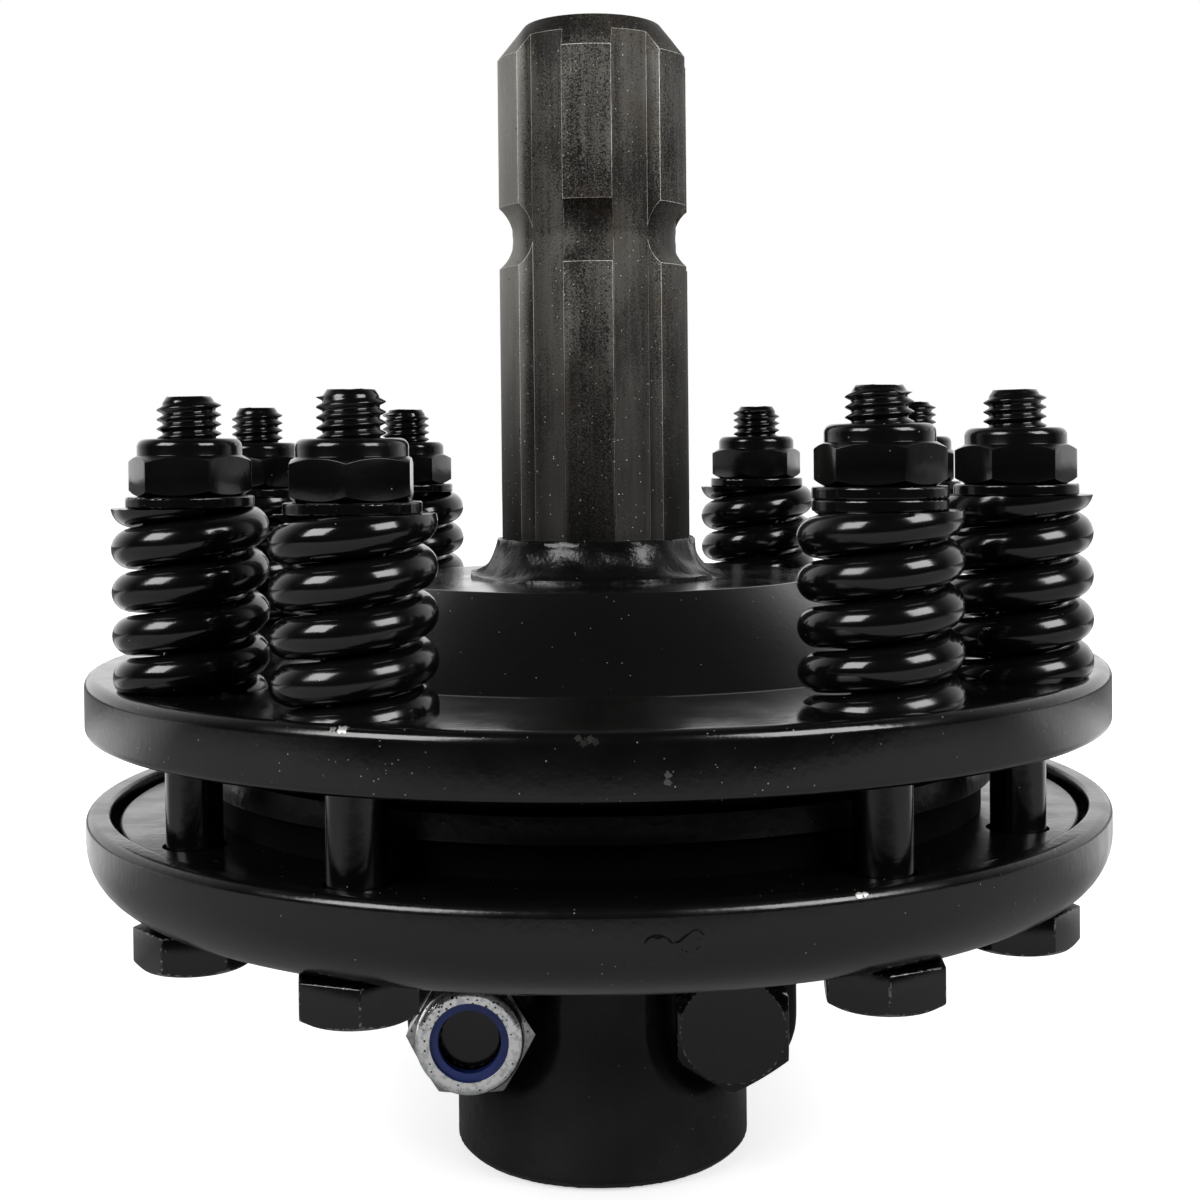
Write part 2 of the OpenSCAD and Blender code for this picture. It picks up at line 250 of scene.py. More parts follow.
def softened(
    node: str, name: str, width: float, segments: int = 3, degrees: float = 24.0, worn: bool = False
) -> bpy.types.Object:
    """Copy a CAD node, join its facets and round its edges.

    Args:
        node: Name of the CAD node.
        name: Name of the copy.
        width: Width of the rounding in mm.
        segments: Facets of the rounding.
        degrees: Edges sharper than this are rounded.
        worn: Whether the rounded edges take a second material.

    Returns:
        The softened copy.
    """
    piece = twin(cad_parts[node], name)
    piece.data.materials.clear()
    # Stand-ins keep the slots apart when pieces are joined, until the piece is dressed
    for part in ("body", "edge") if worn else ("body",):
        piece.data.materials.append(bpy.data.materials.new(f"{name}_{part}"))
    tidy(piece)
    edit_all(piece)
    bpy.ops.mesh.dissolve_limited(angle_limit=math.radians(FLAT_ANGLE))
    bpy.ops.object.mode_set(mode="OBJECT")
    apply_modifier(
        piece,
        "BEVEL",
        width=width * MM,
        segments=segments,
        limit_method="ANGLE",
        angle_limit=math.radians(degrees),
        use_clamp_overlap=True,
        miter_outer="MITER_ARC",
        material=1 if worn else -1,
    )
    smooth(piece)
    return piece


def loop_of(points: Outline, name: str) -> bpy.types.Object:
    """Make a closed outline in the XZ plane from a circle of as many vertices.

    Args:
        points: Radius and height of each corner in mm.
        name: Name of the piece.

    Returns:
        The outline.
    """
    bpy.ops.object.select_all(action="DESELECT")
    bpy.ops.mesh.primitive_circle_add(vertices=len(points), radius=MM)
    piece = bpy.context.active_object
    piece.name = piece.data.name = name
    for vertex, (r, z) in zip(piece.data.vertices, points):
        vertex.co = (r * MM, 0.0, z * MM)
    return piece


def turned(points: Outline, name: str, steps: int) -> bpy.types.Object:
    """Turn a closed half section round the Z axis.

    Args:
        points: Radius and height of each corner in mm.
        name: Name of the piece.
        steps: Facets round the axis.

    Returns:
        The turned piece.
    """
    piece = loop_of(points, name)
    edit_all(piece)
    bpy.ops.mesh.spin(steps=steps, angle=math.tau, center=(0, 0, 0), axis=(0, 0, 1))
    bpy.ops.object.mode_set(mode="OBJECT")
    tidy(piece)
    return piece


def fillet(corners: list[Point], facets: int = 8) -> Outline:
    """Round the corners of a closed outline.

    Args:
        corners: Radius, height and rounding of each corner in mm.
        facets: Facets of each rounding.

    Returns:
        The outline's points.
    """
    points = []
    for number, (r, z, rounding) in enumerate(corners):
        here = Vector((r, z))
        if not rounding:
            points.append((r, z))
            continue
        before = (Vector(corners[number - 1][:2]) - here).normalized()
        after = (Vector(corners[(number + 1) % len(corners)][:2]) - here).normalized()
        half = before.angle(after) / 2
        centre = here + (before + after).normalized() * (rounding / math.sin(half))
        start = here + before * (rounding / math.tan(half)) - centre
        end = here + after * (rounding / math.tan(half)) - centre
        for k in range(facets + 1):
            arm = start.slerp(end, k / facets).normalized() * rounding
            points.append(tuple(centre + arm))
    return points


def bolt_places() -> list[Vector]:
    """Find the axes of the spring bolts from the springs round them.

    Returns:
        One point on each axis, at height zero, in metres.
    """
    boxes = [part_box(f"spring_{number}") for number in range(1, 9)]
    return [Vector(((low.x + high.x) / 2, (low.y + high.y) / 2, 0)) for low, high in boxes]


def drill(piece: bpy.types.Object, diameter: float, low: float, high: float) -> None:
    """Drill the eight bolt holes.

    Args:
        piece: The piece to drill.
        diameter: Diameter of a hole in mm.
        low: Lower end of a hole in mm.
        high: Upper end of a hole in mm.
    """
    deep = high - low + 2 * DRILL_OVER
    tools = []
    for spot in bolt_places():
        bpy.ops.object.select_all(action="DESELECT")
        bpy.ops.mesh.primitive_cylinder_add(vertices=DRILL_SIDES, radius=diameter / 2 * MM, depth=deep * MM)
        tool = bpy.context.active_object
        place(tool, Matrix.Translation(spot + Vector((0, 0, (low + high) / 2 * MM))))
        tools.append(tool)
    tool = join(tools, "drills")
    apply_modifier(piece, "BOOLEAN", object=tool, operation="DIFFERENCE", solver="EXACT")
    bpy.data.objects.remove(tool)


def claim(piece: bpy.types.Object, body: Body, slot: Slot, *nodes: str) -> None:
    """Hang a piece on the body it rides on and hide the CAD nodes that it stands for.

    Args:
        piece: The finished piece.
        body: The body it moves with.
        slot: The material slot it belongs to; not used.
        nodes: CAD nodes that it replaces.
    """
    if nodes:
        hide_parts(*nodes)
    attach(piece, body.value)
    LOG.info("%s: %d faces", piece.name, len(piece.data.polygons))


# Materials


def add_node(
    tree: bpy.types.NodeTree, kind: str, inputs: dict | None = None, **settings: object
) -> bpy.types.Node:
    """Add a shader node, set it and join or set its inputs.

    Args:
        tree: The node tree.
        kind: Type of node.
        inputs: Values or sockets by the input's name or number.
        settings: Properties of the node.

    Returns:
        The node.
    """
    node = tree.nodes.new(kind)
    for name, value in settings.items():
        setattr(node, name, value)
    for name, value in (inputs or {}).items():
        if isinstance(value, bpy.types.NodeSocket):
            tree.links.new(value, node.inputs[name])
        else:
            node.inputs[name].default_value = value
    return node


class Recipe:
    """A material under construction, with the few patterns that the finishes share.

    A speck is solid out to its core, a share of its radius. A ring's radius sways between two shares of it.
    """

    speck_core = 0.6
    sway = (0.5, 1.4)
    sway_size = 2.5

    def __init__(self, name: str) -> None:
        """Start an empty material.

        Args:
            name: Name of the material.
        """
        self.material = bpy.data.materials.new(name)
        self.material.use_nodes = True
        self.tree = self.material.node_tree
        self.tree.nodes.clear()
        self.where = add_node(self.tree, "ShaderNodeTexCoord").outputs["Object"]

    def noise(self, size: float, detail: float = 3.0, stretch: Point = (1, 1, 1)) -> bpy.types.NodeSocket:
        """Make cloudy noise.

        Args:
            size: Size of a patch in mm.
            detail: Octaves of finer noise.
            stretch: How much longer a patch is along each axis.

        Returns:
            The noise, about 0.5 in the mean.
        """
        scale = tuple(1 / (size * MM * s) for s in stretch)
        spread = self.vector("MULTIPLY", self.where, scale).outputs[0]
        inputs = {"Vector": spread, "Scale": 1.0, "Detail": detail}
        return add_node(self.tree, "ShaderNodeTexNoise", inputs).outputs["Fac"]

    def axes(self) -> bpy.types.bpy_prop_collection:
        """Give the three coordinates of a place, by the names X, Y and Z."""
        return add_node(self.tree, "ShaderNodeSeparateXYZ", {0: self.where}).outputs

    def vector(self, operation: str, *values: object) -> bpy.types.Node:
        """Take one step of arithmetic with vectors.

        Args:
            operation: Name of the operation.
            values: Vectors or sockets.

        Returns:
            The node, because its result may be a vector or a number.
        """
        return add_node(self.tree, "ShaderNodeVectorMath", dict(enumerate(values)), operation=operation)

    def math(self, operation: str, *values: object) -> bpy.types.NodeSocket:
        """Take one step of arithmetic.

        Args:
            operation: Name of the operation.
            values: Numbers or sockets.

        Returns:
            The result.
        """
        inputs = dict(enumerate(values))
        return add_node(self.tree, "ShaderNodeMath", inputs, operation=operation).outputs[0]

    def times(self, first: bpy.types.NodeSocket, second: object) -> bpy.types.NodeSocket:
        """Multiply two numbers."""
        return self.math("MULTIPLY", first, second)

    def most(self, first: bpy.types.NodeSocket, second: object) -> bpy.types.NodeSocket:
        """Take the larger of two numbers."""
        return self.math("MAXIMUM", first, second)

    def between(
        self, value: bpy.types.NodeSocket, low: float, high: float, to: tuple[float, float] = (0, 1)
    ) -> bpy.types.NodeSocket:
        """Map a value smoothly from one range to another.

        Args:
            value: The value to map.
            low: Where the range starts; it may be above high.
            high: Where the range ends.
            to: The results at its ends.

        Returns:
            The mapped value.
        """
        inputs = {"Value": value, "From Min": low, "From Max": high, "To Min": to[0], "To Max": to[1]}
        made = add_node(self.tree, "ShaderNodeMapRange", inputs, interpolation_type="SMOOTHSTEP")
        return made.outputs["Result"]

    def span(
        self, value: bpy.types.NodeSocket, start: float, end: float, to: tuple[float, float] = (0, 1)
    ) -> bpy.types.NodeSocket:
        """Map a length smoothly, between two places in mm.

        Args:
            value: The length in metres.
            start: Where the change starts in mm; it may be above end.
            end: Where it ends in mm.
            to: The results at its ends.

        Returns:
            The mapped value.
        """
        return self.between(value, start * MM, end * MM, to)

    def mix(self, share: object, first: object, second: object) -> bpy.types.NodeSocket:
        """Mix two colours.

        Args:
            share: Share of the second colour.
            first: Hex code or socket.
            second: Hex code or socket.

        Returns:
            The mixed colour.
        """
        colours = [srgb(c) if isinstance(c, str) else c for c in (first, second)]
        made = add_node(self.tree, "ShaderNodeMix", data_type="RGBA")
        for number, value in ((0, share), (6, colours[0]), (7, colours[1])):
            if isinstance(value, bpy.types.NodeSocket):
                self.tree.links.new(value, made.inputs[number])
            else:
                made.inputs[number].default_value = value
        return made.outputs[2]

    def specks(self, spacing: float, size: float, share: float) -> bpy.types.NodeSocket:
        """Scatter dots.

        Args:
            spacing: Mean distance of the cells in mm.
            size: Radius of a dot in mm.
            share: Share of the cells with a dot.

        Returns:
            One in a dot and nothing elsewhere.
        """
        inputs = {"Vector": self.where, "Scale": 1 / (spacing * MM)}
        cells = add_node(self.tree, "ShaderNodeTexVoronoi", inputs, feature="F1")
        dot = self.between(cells.outputs["Distance"], size / spacing, self.speck_core * size / spacing)
        pick = add_node(self.tree, "ShaderNodeSeparateColor", {0: cells.outputs["Color"]}).outputs[0]
        return self.times(dot, self.math("LESS_THAN", pick, share))

    def far_from(self, centre: Point) -> bpy.types.NodeSocket:
        """Measure the distance from a place that is given in mm."""
        return self.vector("DISTANCE", self.where, tuple(c * MM for c in centre)).outputs["Value"]

    def spot(self, centre: Point, radius: float, ragged: bpy.types.NodeSocket) -> bpy.types.NodeSocket:
        """Make a ragged spot at one place.

        Args:
            centre: Its middle in mm.
            radius: Its radius in mm.
            ragged: Noise that frays its edge.

        Returns:
            One inside and nothing outside.
        """
        far = self.far_from(centre)
        return self.math("LESS_THAN", far, self.times(ragged, 2 * radius * MM))

    def ring(self, centre: Point, radius: float, width: float) -> bpy.types.NodeSocket:
        """Make a soft uneven ring round one place.

        Args:
            centre: Its middle in mm.
            radius: Its radius in mm.
            width: Half of its width in mm.

        Returns:
            One on the ring and nothing off it.
        """
        reach = tuple(share * radius * MM for share in self.sway)
        uneven = self.between(self.noise(self.sway_size, 1), *NOISE_SPAN, reach)
        off = self.math("ABSOLUTE", self.math("SUBTRACT", self.far_from(centre), uneven))
        return self.span(off, width, 0.0)

    def bump(
        self, height: bpy.types.NodeSocket, depth: float, below: bpy.types.NodeSocket | None = None
    ) -> bpy.types.NodeSocket:
        """Make relief from a height.

        Args:
            height: Height from nothing to one.
            depth: Real depth in mm.
            below: Relief that this one lies on.

        Returns:
            The bent normal.
        """
        inputs = {"Height": height, "Distance": depth * MM, "Strength": 1.0}
        if below is not None:
            inputs["Normal"] = below
        return add_node(self.tree, "ShaderNodeBump", inputs).outputs[0]

    def close(self, **inputs: object) -> bpy.types.Material:
        """Finish with one surface shader.

        Args:
            inputs: Inputs of the shader, with _ for blanks.

        Returns:
            The finished material.
        """
        named = {name.replace("_", " "): value for name, value in inputs.items()}
        shader = add_node(self.tree, "ShaderNodeBsdfPrincipled", named)
        add_node(self.tree, "ShaderNodeOutputMaterial", {"Surface": shader.outputs[0]})
        return self.material


@dataclass(frozen=True)
class Chip:
    """A place where the paint is knocked off or rubbed thin."""

    centre: Point
    radius: float
    tone: str
    shine: float


@dataclass(frozen=True)
class Blister:
    """A raised ring in the paint."""

    centre: Point
    radius: float
    width: float = 0.5
    depth: float = 0.08


@dataclass(frozen=True)
class Enamel:
    """Black enamel, sprayed: deep gloss with orange peel, a little dust and knocked-off chips."""

    name: str
    colour: str = "#060606"
    thick: str = "#0a0a0a"
    thick_size: float = 14.0
    sheen: float = 0.5
    roughness: float = 0.14
    haze_size: float = 9.0
    haze: tuple[float, float] = (0.8, 1.35)
    peel: float = 0.02
    peel_size: float = 1.6
    grain: float = 0.0
    grain_size: float = 1.1
    dust: float = 0.06
    dust_tone: str = "#a5a4a0"
    dust_cover: float = 0.55
    dense_dust: tuple[float, float] = (0.9, 0.14)
    loose_dust: tuple[float, float] = (1.2, 0.13)
    patch_size: float = 26.0
    patch_edge: tuple[float, float] = (0.52, 0.66)
    fray_size: float = 0.4
    bare_roughness: float = 0.3
    rubbed: float = 0.0
    rub_size: float = 0.8
    rub_edge: tuple[float, float] = (0.62, 0.7)
    rub_tone: str = "#6f6e6b"
    rub_shine: float = 0.5
    chips: tuple[Chip, ...] = ()
    blisters: tuple[Blister, ...] = ()

    def dusty(self, recipe: Recipe) -> bpy.types.NodeSocket:
        """Colour the paint, with its dust.

        Args:
            recipe: The material.

        Returns:
            The colour.
        """
        # Thin and thick paint give slow changes of depth
        base = recipe.mix(recipe.noise(self.thick_size), self.colour, self.thick)
        # Dust in the paint shows as fine grey dots, thicker in some patches
        patch = recipe.between(recipe.noise(self.patch_size, 2), *self.patch_edge)
        dust = recipe.times(recipe.specks(*self.dense_dust, self.dust), patch)
        dust = recipe.most(recipe.specks(*self.loose_dust, self.dust), dust)
        return recipe.mix(recipe.times(dust, self.dust_cover), base, self.dust_tone)

    def relief(self, recipe: Recipe) -> bpy.types.NodeSocket:
        """Raise the paint's skin.

        Args:
            recipe: The material.

        Returns:
            The bent normal.
        """
        # Orange peel breaks up the mirror of the lamps, and the metal's own grain lies under it
        relief = recipe.bump(recipe.noise(self.peel_size), self.peel)
        if self.grain:
            relief = recipe.bump(recipe.noise(self.grain_size, 4), self.grain, relief)
        for blister in self.blisters:
            ring = recipe.ring(blister.centre, blister.radius, blister.width)
            relief = recipe.bump(ring, blister.depth, relief)
        return relief

    def make(self) -> bpy.types.Material:
        """Build the material.

        Returns:
            The material.
        """
        recipe = Recipe(self.name)
        colour = self.dusty(recipe)
        hazy = tuple(self.roughness * share for share in self.haze)
        rough = recipe.between(recipe.noise(self.haze_size, 4), *NOISE_SPAN, hazy)
        # Chips show grey primer or bright metal
        ragged = recipe.noise(self.fray_size, 4)
        bare = 0.0
        for chip in self.chips:
            mask = recipe.spot(chip.centre, chip.radius, ragged)
            colour = recipe.mix(mask, colour, chip.tone)
            bare = recipe.most(recipe.times(mask, chip.shine), bare)
        # Rubbed edges show grey metal in small broken patches
        if self.rubbed:
            start, end = self.rub_edge
            mask = recipe.between(recipe.noise(self.rub_size, 5), start - self.rubbed, end - self.rubbed)
            colour = recipe.mix(mask, colour, self.rub_tone)
            bare = recipe.times(mask, self.rub_shine)
        if self.chips or self.rubbed:
            rough = recipe.math("ADD", rough, recipe.times(bare, self.bare_roughness))
        return recipe.close(
            Base_Color=colour,
            Roughness=rough,
            Normal=self.relief(recipe),
            Metallic=bare,
            Specular_IOR_Level=self.sheen,
        )


@dataclass(frozen=True)
class DrawnSteel:
    """Bare drawn steel, oiled: dark grey and grainy, with faint streaks, brown stains and pits.

    Spans are where a change starts and ends, as heights above the hub's end or distances from the axis in mm.
    """

    name: str
    light: str = "#62605b"
    dark: str = "#1b1a18"
    metallic: float = 0.8
    roughness: tuple[float, float] = (0.5, 0.68)
    grain: float = 0.03
    grain_size: float = 0.3
    streak_size: float = 0.7
    streak_length: float = 25.0
    cloud_size: float = 8.0
    cloud_length: float = 2.0
    shares: Point = (0.5, 0.35, 0.15)
    tone_span: tuple[float, float] = (0.43, 0.58)
    stain_tone: str = "#4a3d31"
    stain_size: float = 13.0
    stain_edge: tuple[float, float] = (0.5, 0.72)
    stain_cover: float = 0.4
    oil_tone: str = "#121110"
    oil_span: tuple[float, float] = (172.0, 110.0)
    oil_cover: float = 0.82
    blot_size: float = 6.0
    blot_length: float = 1.6
    blot_edge: tuple[float, float] = (0.4, 0.62)
    blot_cover: tuple[float, float] = (0.15, 0.7)
    blot_span: tuple[float, float] = (156.0, 138.0)
    front_tooth: tuple[float, float] = (5.5, 4.0)
    foot_span: tuple[float, float] = (122.0, 109.0)
    foot_cover: float = 0.9
    # Painted shade, with some dirt, between the teeth
    shade_and_dirt_tone: str = "#1e1d1b"
    shade_and_dirt_span: tuple[float, float] = (16.6, 15.2)
    shade_and_dirt_cover: float = 0.4
    # Painted highlight on the upper part of the left tooth
    painted_highlight_tone: str = "#b0aea8"
    painted_highlight_span: tuple[float, float] = (110.0, 170.0)
    painted_highlight_cover: float = 0.45
    left_tooth: tuple[float, float] = (-11.5, -13.5)
    pit_tone: str = "#0f0e0d"
    pits: Point = (1.7, 0.25, 0.2)
    pit_cover: float = 0.9
    # Bright specks: knocks and painted glints
    glint_and_knock_tone: str = "#c9c6bf"
    knocks: Point = (0.75, 0.11, 0.26)
    glint_and_knock_cover: float = 0.75

    def drawn(self, recipe: Recipe, grain: bpy.types.NodeSocket) -> bpy.types.NodeSocket:
        """Colour the bare steel.

        Args:
            recipe: The material.
            grain: Its finest noise.

        Returns:
            The colour.
        """
        # A fine grain, faint streaks along the shaft and slow clouds make up the grey
        streak = recipe.noise(self.streak_size, 3, (1, 1, self.streak_length))
        cloud = recipe.noise(self.cloud_size, 4, (1, 1, self.cloud_length))
        fine, slow, long = self.shares
        tone = recipe.math("ADD", recipe.times(grain, fine), recipe.times(cloud, slow))
        tone = recipe.math("ADD", tone, recipe.times(streak, long))
        base = recipe.mix(recipe.between(tone, *self.tone_span), self.dark, self.light)
        # Brown stain in slow patches warms the grey
        stain = recipe.between(recipe.noise(self.stain_size), *self.stain_edge, (0, self.stain_cover))
        return recipe.mix(stain, base, self.stain_tone)

    def oiled(self, recipe: Recipe, base: bpy.types.NodeSocket) -> bpy.types.NodeSocket:
        """Lay oil, dirt and painted shade over the steel, and a painted highlight on its left tooth.

        Args:
            recipe: The material.
            base: Colour of the steel.

        Returns:
            The colour.
        """
        # The oil film is thicker towards the weld and lies in dark patches, darkest on the front tooth
        axes = recipe.axes()
        oil = recipe.span(axes["Z"], *self.oil_span, (0, self.oil_cover))
        front = recipe.span(recipe.math("ABSOLUTE", axes["X"]), *self.front_tooth)
        blot = recipe.noise(self.blot_size, 2, (1, 1, self.blot_length))
        blot = recipe.between(blot, *self.blot_edge, self.blot_cover)
        low = recipe.span(axes["Z"], *self.blot_span)
        oil = recipe.most(oil, recipe.times(recipe.times(front, low), blot))
        foot = recipe.span(axes["Z"], *self.foot_span, (0, self.foot_cover))
        base = recipe.mix(recipe.most(oil, foot), base, self.oil_tone)
        # Painted shade, with some dirt, darkens the steel between the teeth
        flat = recipe.vector("MULTIPLY", recipe.where, (1, 1, 0)).outputs[0]
        far = recipe.vector("LENGTH", flat).outputs["Value"]
        base = recipe.mix(recipe.span(far, *self.shade_and_dirt_span, (0, self.shade_and_dirt_cover)), base, self.shade_and_dirt_tone)
        # A painted highlight lightens the upper part of the left tooth, on the side where the room is brighter
        high = recipe.span(axes["Z"], *self.painted_highlight_span)
        left = recipe.times(recipe.span(axes["X"], *self.left_tooth), high)
        return recipe.mix(recipe.times(left, self.painted_highlight_cover), base, self.painted_highlight_tone)

    def make(self) -> bpy.types.Material:
        """Build the material.

        Returns:
            The material.
        """
        recipe = Recipe(self.name)
        grain = recipe.noise(self.grain_size)
        base = self.oiled(recipe, self.drawn(recipe, grain))
        # Small pits are dark; small bright specks are knocks and painted glints
        base = recipe.mix(recipe.times(recipe.specks(*self.pits), self.pit_cover), base, self.pit_tone)
        base = recipe.mix(recipe.times(recipe.specks(*self.knocks), self.glint_and_knock_cover), base, self.glint_and_knock_tone)
        return recipe.close(
            Base_Color=base,
            Roughness=recipe.between(grain, *NOISE_SPAN, self.roughness),
            Normal=recipe.bump(grain, self.grain),
            Metallic=self.metallic,
        )


@dataclass(frozen=True)
class ZincPlate:
    """Bright zinc plate, barrel plated: pale and softly shining, with fine dents and dark specks.

    The face is the front of the nuts' collars, in metres from the XZ plane; spans are in mm.
    """

    name: str
    face: float
    bright: str = "#ffffff"
    pale: str = "#d5d7d9"
    bloom_size: float = 0.8
    bloom_edge: tuple[float, float] = (0.36, 0.56)
    # Painted shade on the hexagon behind the collar
    painted_shade_tone: str = "#56575a"
    painted_shade_span: tuple[float, float] = (1.2, 2.6)
    painted_shade_cover: float = 0.6
    soot: str = "#12110f"
    sooty_span: tuple[float, float] = (24.0, 33.0)
    sooty: Point = (0.7, 0.26, 0.5)
    specks: Point = (0.9, 0.24, 0.36)
    dent: float = 0.05
    dent_size: float = 0.7
    roughness: float = 0.22
    metallic: float = 1.0

    def make(self) -> bpy.types.Material:
        """Build the material.

        Returns:
            The material.
        """
        recipe = Recipe(self.name)
        bloom = recipe.between(recipe.noise(self.bloom_size, 4), *self.bloom_edge)
        base = recipe.mix(bloom, self.pale, self.bright)
        axes = recipe.axes()
        # Painted shade darkens the hexagon behind the collar, which faces sideways, while the collar faces the
        # light
        depth = recipe.math("SUBTRACT", self.face, recipe.math("ABSOLUTE", axes["Y"]))
        base = recipe.mix(recipe.span(depth, *self.painted_shade_span, (0, self.painted_shade_cover)), base, self.painted_shade_tone)
        # Soot and knocks leave small dark specks, most of them near the top of a nut
        many = recipe.times(recipe.specks(*self.sooty), recipe.span(axes["Z"], *self.sooty_span))
        base = recipe.mix(recipe.most(recipe.specks(*self.specks), many), base, self.soot)
        relief = recipe.bump(recipe.noise(self.dent_size, 4), self.dent)
        return recipe.close(Base_Color=base, Roughness=self.roughness, Normal=relief, Metallic=self.metallic)


@dataclass(frozen=True)
class Plain:
    """A plain matt or satin solid, such as nylon, bronze or lining, with a slight grain."""

    name: str
    first: str
    second: str
    roughness: float
    grain_size: float
    grain: float = 0.03
    metallic: float = 0.0
    sheen: float = 0.5

    def make(self) -> bpy.types.Material:
        """Build the material.

        Returns:
            The material.
        """
        recipe = Recipe(self.name)
        cloud = recipe.noise(self.grain_size, 4)
        return recipe.close(
            Base_Color=recipe.mix(cloud, self.first, self.second),
            Roughness=self.roughness,
            Normal=recipe.bump(cloud, self.grain),
            Metallic=self.metallic,
            Specular_IOR_Level=self.sheen,
        )


def dress(piece: bpy.types.Object, *materials: bpy.types.Material) -> None:
    """Give a piece its materials, in the order of its slots.

    Args:
        piece: The piece.
        materials: Its materials.
    """
    while len(piece.data.materials) < len(materials):
        piece.data.materials.append(None)
    for number, material in enumerate(materials):
        piece.data.materials[number] = material


# The sub-assemblies


@dataclass
class Springs:
    """The eight compression springs, each turned as it was fitted: ends are the angles of their top ends."""

    wire: float = 6.3
    outside: float = 24.5
    turns: float = 4.9
    tip_left: float = 1.1
    end_closing: float = 0.03
    ends: tuple[float, ...] = (24, 205, 270, 29, 2, 232, 225, 155)
    steps: int = 220
    sides: int = 28
    shade: float = 50.0
    pieces: list[bpy.types.Object] = field(default_factory=list)

    def coil(self, height: float) -> bpy.types.Object:
        """Wind one spring with ground ends, its top end at angle zero.

        Args:
            height: Height of the spring in mm.

        Returns:
            The spring.
        """
        bpy.ops.object.select_all(action="DESELECT")
        bpy.ops.mesh.primitive_circle_add(vertices=self.sides, radius=self.wire / 2 * MM, fill_type="NOTHING")
        piece = bpy.context.active_object
        piece.name = piece.data.name = "spring_coil"
        over = self.wire / 2 - self.tip_left
        rise = height + 2 * over
        foot = Vector(((self.outside - self.wire) / 2, 0, -over)) * MM
        place(piece, Matrix.Translation(foot) @ Matrix.Rotation(math.pi / 2, 4, "X"))
        apply_modifier(
            piece,
            "SCREW",
            angle=math.tau * self.turns,
            screw_offset=rise * MM,
            steps=self.steps,
            render_steps=self.steps,
            iterations=1,
            axis="Z",
        )
        # The end turns are wound flatter than the middle ones
        rings = len(piece.data.vertices) // self.sides
        for vertex in piece.data.vertices:
            share = (vertex.index // self.sides) / (rings - 1)
            vertex.co.z -= rise * MM * self.end_closing * math.sin(math.tau * share) / math.tau
        edit_all(piece)
        bpy.ops.mesh.select_all(action="DESELECT")
        bpy.ops.mesh.select_non_manifold()
        bpy.ops.mesh.fill()
        bpy.ops.object.mode_set(mode="OBJECT")
        tidy(piece)
        cut(piece, 0.0, Side.BELOW)
        cut(piece, height, Side.ABOVE)
        tidy(piece)
        # The wind ends at the screw's own end angle; this turn brings it to angle zero, on -Y
        place(piece, Matrix.Rotation(-math.tau * self.turns - math.pi / 2, 4, "Z"))
        return piece

    def build(self) -> None:
        """Copy the coil to the place of each spring."""
        low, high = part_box("spring_1")
        tall = high.z - low.z
        coil = self.coil(tall / MM)
        for number, end in enumerate(self.ends, 1):
            low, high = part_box(f"spring_{number}")
            piece = twin(coil, f"spring_coil_{number}")
            spot = Vector(((low.x + high.x) / 2, (low.y + high.y) / 2, low.z))
            press = Matrix.Scale((high.z - low.z) / tall, 4, (0, 0, 1))
            place(piece, Matrix.Translation(spot) @ Matrix.Rotation(math.radians(end), 4, "Z") @ press)
            smooth(piece, self.shade)
            claim(piece, Body.DRIVE, Slot.PAINT, f"spring_{number}")
            self.pieces.append(piece)
        bpy.data.objects.remove(coil)

    def dress(self, paint: bpy.types.Material) -> None:
        """Paint the springs.

        Args:
            paint: Their paint.
        """
        for piece in self.pieces:
            dress(piece, paint)


